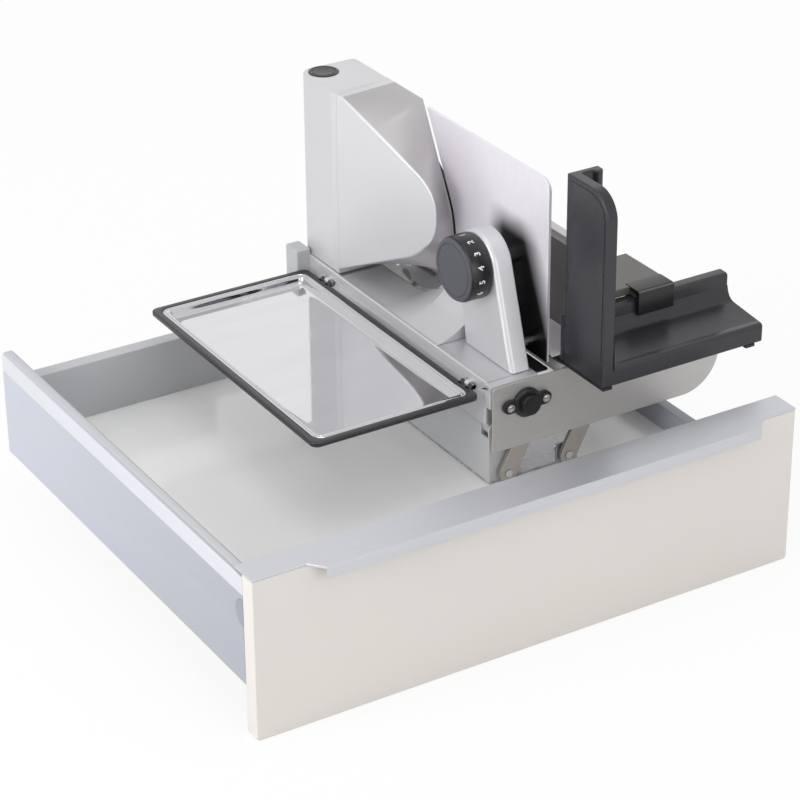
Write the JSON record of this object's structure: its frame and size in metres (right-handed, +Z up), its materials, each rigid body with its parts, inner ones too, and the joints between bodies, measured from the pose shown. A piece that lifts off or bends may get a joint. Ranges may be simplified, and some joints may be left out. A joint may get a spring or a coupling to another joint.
{
  "type": "electric food slicer",
  "caption": "Electric food slicer on a fold-down linkage inside a kitchen drawer, with round blade, thickness dial, sliding carriage, pusher and catch tray.",
  "frame": {"origin": "centre of the drawer floor's underside, halfway across the front panel, where the cabinet's runners carry the drawer", "axes": "+X to the right along the drawer front, +Y to the back of the drawer, +Z up"},
  "size_m": [0.615, 0.539, 0.4],
  "materials": {
    "front_lacquer": "satin cream-white lacquer on board",
    "drawer_enamel": "pale blue-grey powder coat",
    "floor_white": "glossy white melamine on board",
    "back_grey": "grey laminate on board",
    "handle_aluminium": "satin anodised, brushed along its length",
    "zinc_steel": "zinc-plated sheet steel",
    "pedestal_grey": "satin grey powder coat",
    "arm_steel": "dull satin steel",
    "silver_cast": "satin silver-metallic coat on die-cast alloy",
    "satin_steel": "fine satin stainless steel",
    "deck_steel": "brushed stainless sheet",
    "polished_steel": "mirror-polished stainless steel",
    "turned_steel": "turned and polished steel",
    "charcoal_plastic": "fine-textured anthracite plastic",
    "black_plastic": "semi-gloss black plastic",
    "dial_plastic": "satin dark grey plastic with a ribbed rim",
    "dial_disc": "satin mid-grey",
    "pusher_plastic": "satin brown-grey plastic",
    "grey_plastic": "satin grey plastic",
    "natural_nylon": "off-white gear nylon",
    "return_rubber": "soft silicone rubber",
    "bronze": "sintered bronze",
    "board_green": "solder-masked board"
  },
  "bodies": {
    "drawer": {"drawer_front_panel": "front_lacquer", "front_handle_strip": "handle_aluminium", "drawer_side_left": "drawer_enamel", "drawer_side_right": "drawer_enamel", "front_fixing_cover": "grey_plastic", "drawer_floor_panel": "floor_white", "drawer_back_panel": "back_grey", "front_angle_plates": "zinc_steel", "runner_clips": "grey_plastic", "floor_base_plate": "zinc_steel", "base_plate_screws": "turned_steel", "hinge_pedestal": "pedestal_grey", "fold_hinge_pins": "turned_steel", "arm_foot_studs": "turned_steel"},
    "left_arms": {"swing_arms_left": "arm_steel"},
    "right_arms": {"swing_arms_right": "arm_steel"},
    "slicer_unit": {"base_casting": "silver_cast", "rear_level_pin": "turned_steel", "casting_bottom_cover": "pedestal_grey", "power_supply": "black_plastic", "mains_box": "grey_plastic", "motor_housing": "silver_cast", "drive_plate": "satin_steel", "axle_bush": "bronze", "motor": "zinc_steel", "switch_bezel": "black_plastic", "microswitch": "black_plastic", "circuit_board": "board_green", "adjuster_bracket": "silver_cast", "slice_chute": "silver_cast"},
    "button": {"switch_button": "black_plastic", "switch_return_sleeve": "return_rubber"},
    "cutter": {"blade": "polished_steel", "blade_gear": "natural_nylon", "blade_axle": "turned_steel", "blade_nut": "black_plastic"},
    "pinion": {"motor_pinion": "turned_steel"},
    "dial": {"dial_knob": "dial_plastic", "dial_face": "dial_disc", "dial_spindle": "turned_steel"},
    "thickness_plate": {"stop_plate": "satin_steel", "stop_plate_guides": "turned_steel"},
    "tray": {"tray_frame": "charcoal_plastic", "tray_pan": "polished_steel", "tray_hang_pins": "turned_steel"},
    "deck": {"deck_front_plate": "deck_steel", "deck_rear_plate": "deck_steel", "deck_studs": "turned_steel", "carriage_rails": "deck_steel", "lock_flange": "black_plastic", "lock_flange_screws": "turned_steel"},
    "lock": {"lock_plunger": "black_plastic"},
    "carriage": {"carriage_body": "charcoal_plastic", "carriage_food_plate": "satin_steel", "carriage_shoes": "black_plastic"},
    "pusher": {"food_pusher": "pusher_plastic", "pusher_spikes": "turned_steel"}
  },
  "joints": [
    {"name": "slicer_fold", "type": "hinge", "parent": "drawer", "child": "slicer_unit", "pos_m": [0.0565, 0, 0.075], "axis": [0, -1, 0], "range_deg": [0, 84]},
    {"name": "left_arms_swing", "type": "hinge", "parent": "drawer", "child": "left_arms", "pos_m": [0.0673, 0, 0.027], "axis": [0, -1, 0], "range_deg": [0, 84]},
    {"name": "right_arms_swing", "type": "hinge", "parent": "drawer", "child": "right_arms", "pos_m": [0.1385, 0, 0.027], "axis": [0, -1, 0], "range_deg": [0, 84]},
    {"name": "deck_level", "type": "hinge", "parent": "slicer_unit", "child": "deck", "pos_m": [0.07815, 0, 0.1179], "axis": [0, -1, 0], "range_deg": [-84, 0]},
    {"name": "tray_level", "type": "hinge", "parent": "slicer_unit", "child": "tray", "pos_m": [0.0405, 0, 0.12], "axis": [0, -1, 0], "range_deg": [-84, 0]},
    {"name": "blade_spin", "type": "hinge", "parent": "slicer_unit", "child": "cutter", "pos_m": [0.1, 0.146, 0.202], "axis": [1, 0, 0], "continuous": true},
    {"name": "pinion_spin", "type": "hinge", "parent": "slicer_unit", "child": "pinion", "pos_m": [0.1, 0.191, 0.202], "axis": [1, 0, 0], "continuous": true},
    {"name": "dial_turn", "type": "hinge", "parent": "slicer_unit", "child": "dial", "pos_m": [0.06, -0.034, 0.221], "axis": [1, 0, 0], "range_deg": [0, 300]},
    {"name": "stop_plate_slide", "type": "slide", "parent": "slicer_unit", "child": "thickness_plate", "axis": [-1, 0, 0], "range_m": [0, 0.016]},
    {"name": "switch_press", "type": "slide", "parent": "slicer_unit", "child": "button", "axis": [0, 0, -1], "range_m": [0, 0.003], "stiffness_N_per_m": 800, "springref_m": -0.001, "deforming": ["switch_return_sleeve"]},
    {"name": "lock_pull", "type": "slide", "parent": "deck", "child": "lock", "axis": [0, -1, 0], "range_m": [0, 0.004]},
    {"name": "carriage_slide", "type": "slide", "parent": "deck", "child": "carriage", "axis": [0, 1, 0], "range_m": [0, 0.185]},
    {"name": "pusher_slide", "type": "slide", "parent": "carriage", "child": "pusher", "axis": [1, 0, 0], "range_m": [-0.034, 0.065]}
  ],
  "couplings": [
    {"joint": "left_arms_swing", "follows": "slicer_fold", "ratio": 1},
    {"joint": "right_arms_swing", "follows": "slicer_fold", "ratio": 1},
    {"joint": "deck_level", "follows": "slicer_fold", "ratio": -1},
    {"joint": "tray_level", "follows": "slicer_fold", "ratio": -1},
    {"joint": "pinion_spin", "follows": "blade_spin", "ratio": -5},
    {"joint": "dial_turn", "follows": "stop_plate_slide", "rad_per_m": 327}
  ]
}
